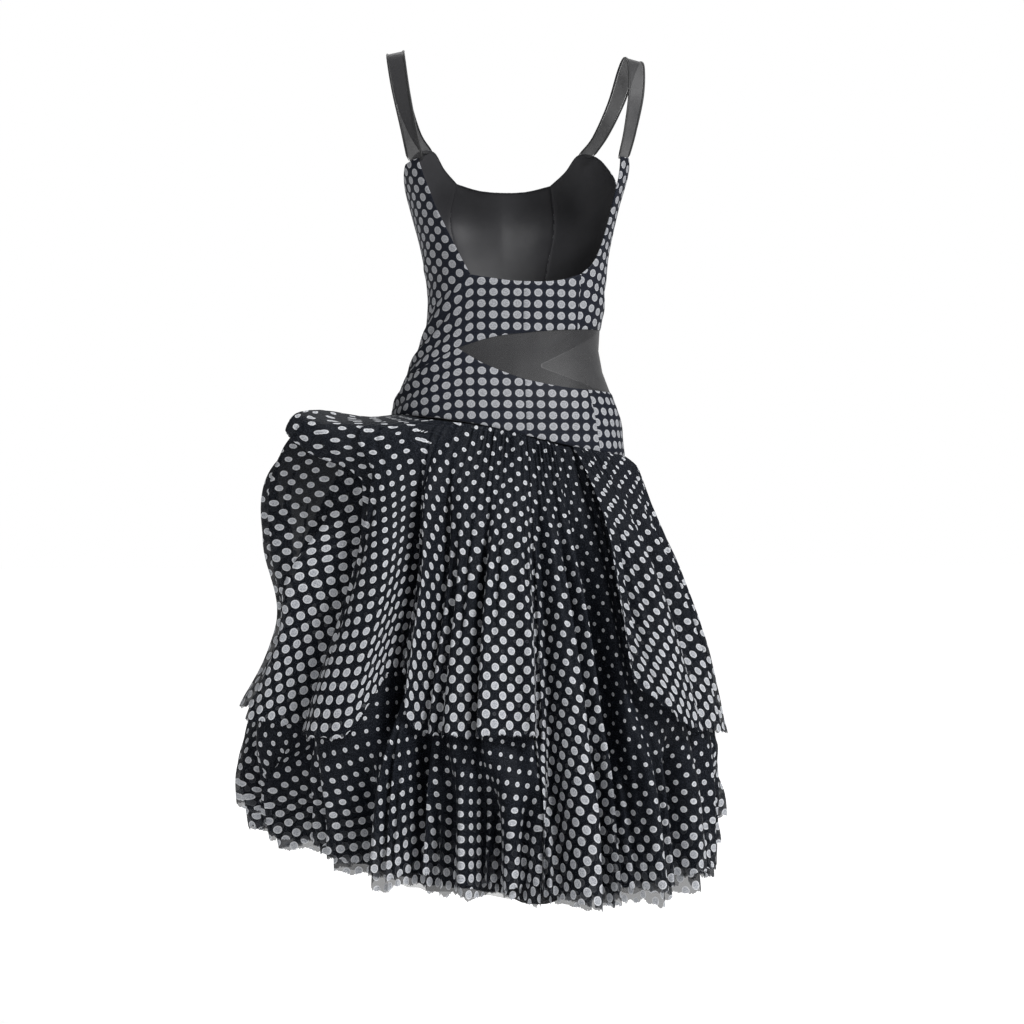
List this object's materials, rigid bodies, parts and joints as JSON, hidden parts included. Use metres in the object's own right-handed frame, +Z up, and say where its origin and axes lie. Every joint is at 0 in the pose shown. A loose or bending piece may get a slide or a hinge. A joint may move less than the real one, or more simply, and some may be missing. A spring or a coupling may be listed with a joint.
{
  "type": "flamenco dress",
  "caption": "Sleeveless black polka dot flamenco dress with mesh straps, a scooped back, a sheer crescent cut-out at the waist and a gathered layered organza skirt with a flared hip",
  "frame": {"origin": "midway between the tops of the two straps, where the wearer's shoulders hold the dress up", "axes": "+Z up, +Y towards the wearer's front, +X towards the wearer's right"},
  "size_m": [0.59, 0.559, 1.0028],
  "materials": {
    "dotted_satin": "matt black stretch satin printed with a square lattice of light grey dots",
    "stretch_mesh": "fine sheer black stretch mesh",
    "piping": "narrow black satin binding",
    "dotted_organza": "sheer black organza with off-white dots that grow towards the hem, raw edges",
    "tulle": "plain black tulle net",
    "lining_satin": "opaque plain black lining with a soft shine"
  },
  "bodies": {
    "root": {"back_side_left": "dotted_satin", "back_band_left": "dotted_satin", "hip_yoke_left": "dotted_satin", "back_band_right": "dotted_satin", "back_side_right": "dotted_satin", "hip_yoke_right": "dotted_satin", "hip_side_right": "dotted_satin", "front_side_right_upper": "dotted_satin", "front_side_right_lower": "dotted_satin", "front_centre": "dotted_satin", "front_side_left": "dotted_satin", "cutout_mesh": "stretch_mesh", "strap_right": "stretch_mesh", "strap_left": "stretch_mesh", "strap_piping_right_neck": "piping", "strap_piping_right_arm": "piping", "strap_piping_left_neck": "piping", "strap_piping_left_arm": "piping", "overskirt_left": "dotted_organza", "overskirt_right": "dotted_organza", "back_streamer": "dotted_organza", "flounce_outer": "dotted_organza", "flounce_inner": "dotted_organza", "petticoat": "tulle", "lining": "lining_satin"}
  },
  "joints": []
}
